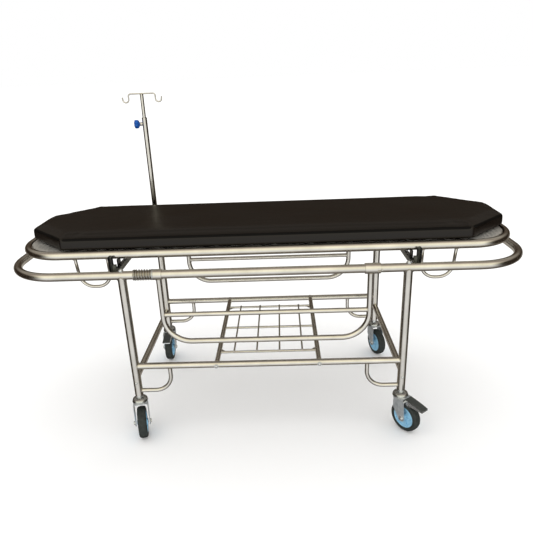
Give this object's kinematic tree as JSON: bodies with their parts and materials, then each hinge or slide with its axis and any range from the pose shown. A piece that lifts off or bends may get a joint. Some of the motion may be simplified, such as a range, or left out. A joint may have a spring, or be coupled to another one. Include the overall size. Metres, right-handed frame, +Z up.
{
  "type": "ambulance cot",
  "caption": "Wheeled stainless-steel ambulance cot: trolley frame on swivel casters with drop-down side rails, a lift-off stretcher with mattress, a rack and an infusion pole.",
  "frame": {"origin": "on the floor under the middle of the trolley's bumper frame", "axes": "+X along the cot, away from the end with the infusion pole; +Y across the cot, towards the side with the infusion pole; +Z up"},
  "size_m": [1.972, 0.745, 1.2828],
  "materials": {
    "stainless": "bright satin stainless tube",
    "zinc": "bright zinc plate",
    "spring_steel": "drawn wire",
    "black_paint": "satin black",
    "vinyl": "very dark brown vinyl",
    "tyre_rubber": "matt",
    "hub_plastic": "light blue, moulded",
    "pedal_steel": "dark grey",
    "nylon": "natural",
    "knob_plastic": "blue, moulded"
  },
  "bodies": {
    "trolley": {"bumper_loop": "stainless", "leg_front_near": "stainless", "leg_front_far": "stainless", "leg_rear_near": "stainless", "leg_rear_far": "stainless", "brace_front_near": "stainless", "brace_front_far": "stainless", "brace_rear_near": "stainless", "brace_rear_far": "stainless", "leg_nut_front_near": "stainless", "leg_nut_rear_near": "stainless", "leg_nut_rear_far": "stainless", "lower_side_tube_near": "stainless", "lower_side_tube_far": "stainless", "lower_end_tube_front": "stainless", "lower_end_tube_rear": "stainless", "shelf_rack": "stainless", "rail_stop_near": "stainless", "rail_stop_far": "stainless", "rail_lock_pin_near": "stainless", "rail_lock_pin_far": "stainless", "pole_socket": "stainless", "caster_stem_front_near": "zinc", "caster_stem_front_far": "zinc", "caster_stem_rear_near": "zinc", "caster_stem_rear_far": "zinc", "rail_spring_near": "spring_steel", "rail_spring_far": "spring_steel", "cross_beam_front": "black_paint", "cross_beam_rear": "black_paint"},
    "stretcher": {"stretcher_loop": "stainless", "bed_panel": "stainless", "mattress": "vinyl"},
    "pole": {"pole_tube": "stainless"},
    "pole_guide": {"pole_bush": "nylon"},
    "pole_hooks": {"pole_rod": "stainless"},
    "pole_clamp": {"pole_knob": "knob_plastic"},
    "rail_slider_near": {"rail_washer_near": "zinc"},
    "rail_near": {"guard_rail_near": "stainless"},
    "rail_slider_far": {"rail_washer_far": "zinc"},
    "rail_far": {"guard_rail_far": "stainless"},
    "caster_front_near": {"caster_fork_front_near": "zinc", "caster_axle_front_near": "zinc"},
    "wheel_front_near": {"caster_hub_front_near": "hub_plastic", "caster_tyre_front_near": "tyre_rubber"},
    "caster_front_far": {"caster_fork_front_far": "zinc", "caster_axle_front_far": "zinc"},
    "wheel_front_far": {"caster_hub_front_far": "hub_plastic", "caster_tyre_front_far": "tyre_rubber"},
    "pedal_front_far": {"brake_pedal_front_far": "pedal_steel"},
    "caster_rear_near": {"caster_fork_rear_near": "zinc", "caster_axle_rear_near": "zinc"},
    "wheel_rear_near": {"caster_hub_rear_near": "hub_plastic", "caster_tyre_rear_near": "tyre_rubber"},
    "pedal_rear_near": {"brake_pedal_rear_near": "pedal_steel"},
    "caster_rear_far": {"caster_fork_rear_far": "zinc", "caster_axle_rear_far": "zinc"},
    "wheel_rear_far": {"caster_hub_rear_far": "hub_plastic", "caster_tyre_rear_far": "tyre_rubber"}
  },
  "joints": [
    {"name": "stretcher_lift", "type": "slide", "parent": "trolley", "child": "stretcher", "axis": [0, 0, 1], "range_m": [0, 0.25]},
    {"name": "rail_shift_near", "type": "slide", "parent": "trolley", "child": "rail_slider_near", "axis": [-1, 0, 0], "range_m": [0, 0.012], "stiffness_N_per_m": 600, "springref_m": -0.01, "deforming": ["rail_spring_near"]},
    {"name": "rail_swing_near", "type": "hinge", "parent": "rail_slider_near", "child": "rail_near", "pos_m": [0, -0.304, 0.68], "axis": [-1, 0, 0], "range_deg": [0, 180]},
    {"name": "rail_shift_far", "type": "slide", "parent": "trolley", "child": "rail_slider_far", "axis": [-1, 0, 0], "range_m": [0, 0.012], "stiffness_N_per_m": 600, "springref_m": -0.01, "deforming": ["rail_spring_far"]},
    {"name": "rail_swing_far", "type": "hinge", "parent": "rail_slider_far", "child": "rail_far", "pos_m": [0, 0.304, 0.68], "axis": [1, 0, 0], "range_deg": [0, 180]},
    {"name": "pole_lift", "type": "slide", "parent": "trolley", "child": "pole", "axis": [0, 0, 1], "range_m": [0, 0.3]},
    {"name": "pole_extend", "type": "slide", "parent": "pole", "child": "pole_guide", "axis": [0, 0, 1], "range_m": [0, 0.32]},
    {"name": "pole_turn", "type": "hinge", "parent": "pole_guide", "child": "pole_hooks", "pos_m": [-0.517, 0.304, 1], "axis": [0, 0, 1], "continuous": true},
    {"name": "pole_clamp_turn", "type": "hinge", "parent": "pole", "child": "pole_clamp", "pos_m": [-0.517, 0.304, 1.155], "axis": [1, 0, 0], "continuous": true},
    {"name": "swivel_front_near", "type": "hinge", "parent": "trolley", "child": "caster_front_near", "pos_m": [-0.517, -0.304, 0.142], "axis": [0, 0, 1], "continuous": true},
    {"name": "roll_front_near", "type": "hinge", "parent": "caster_front_near", "child": "wheel_front_near", "pos_m": [-0.50926, -0.33505, 0.0625], "axis": [0.9703, 0.2419, 0], "continuous": true},
    {"name": "swivel_front_far", "type": "hinge", "parent": "trolley", "child": "caster_front_far", "pos_m": [-0.517, 0.304, 0.142], "axis": [0, 0, 1], "continuous": true},
    {"name": "roll_front_far", "type": "hinge", "parent": "caster_front_far", "child": "wheel_front_far", "pos_m": [-0.51588, 0.27202, 0.0625], "axis": [0.9994, 0.0349, 0], "continuous": true},
    {"name": "brake_front_far", "type": "hinge", "parent": "caster_front_far", "child": "pedal_front_far", "pos_m": [-0.51578, 0.26902, 0.1345], "axis": [0.9994, 0.0349, 0], "range_deg": [0, 7]},
    {"name": "swivel_rear_near", "type": "hinge", "parent": "trolley", "child": "caster_rear_near", "pos_m": [0.517, -0.304, 0.142], "axis": [0, 0, 1], "continuous": true},
    {"name": "roll_rear_near", "type": "hinge", "parent": "caster_rear_near", "child": "wheel_rear_near", "pos_m": [0.5367, -0.32922, 0.0625], "axis": [0.788, 0.6157, 0], "continuous": true},
    {"name": "brake_rear_near", "type": "hinge", "parent": "caster_rear_near", "child": "pedal_rear_near", "pos_m": [0.53855, -0.33158, 0.1345], "axis": [0.788, 0.6157, 0], "range_deg": [0, 7]},
    {"name": "swivel_rear_far", "type": "hinge", "parent": "trolley", "child": "caster_rear_far", "pos_m": [0.517, 0.304, 0.142], "axis": [0, 0, 1], "continuous": true},
    {"name": "roll_rear_far", "type": "hinge", "parent": "caster_rear_far", "child": "wheel_rear_far", "pos_m": [0.52847, 0.27413, 0.0625], "axis": [0.9336, 0.3584, 0], "continuous": true}
  ]
}
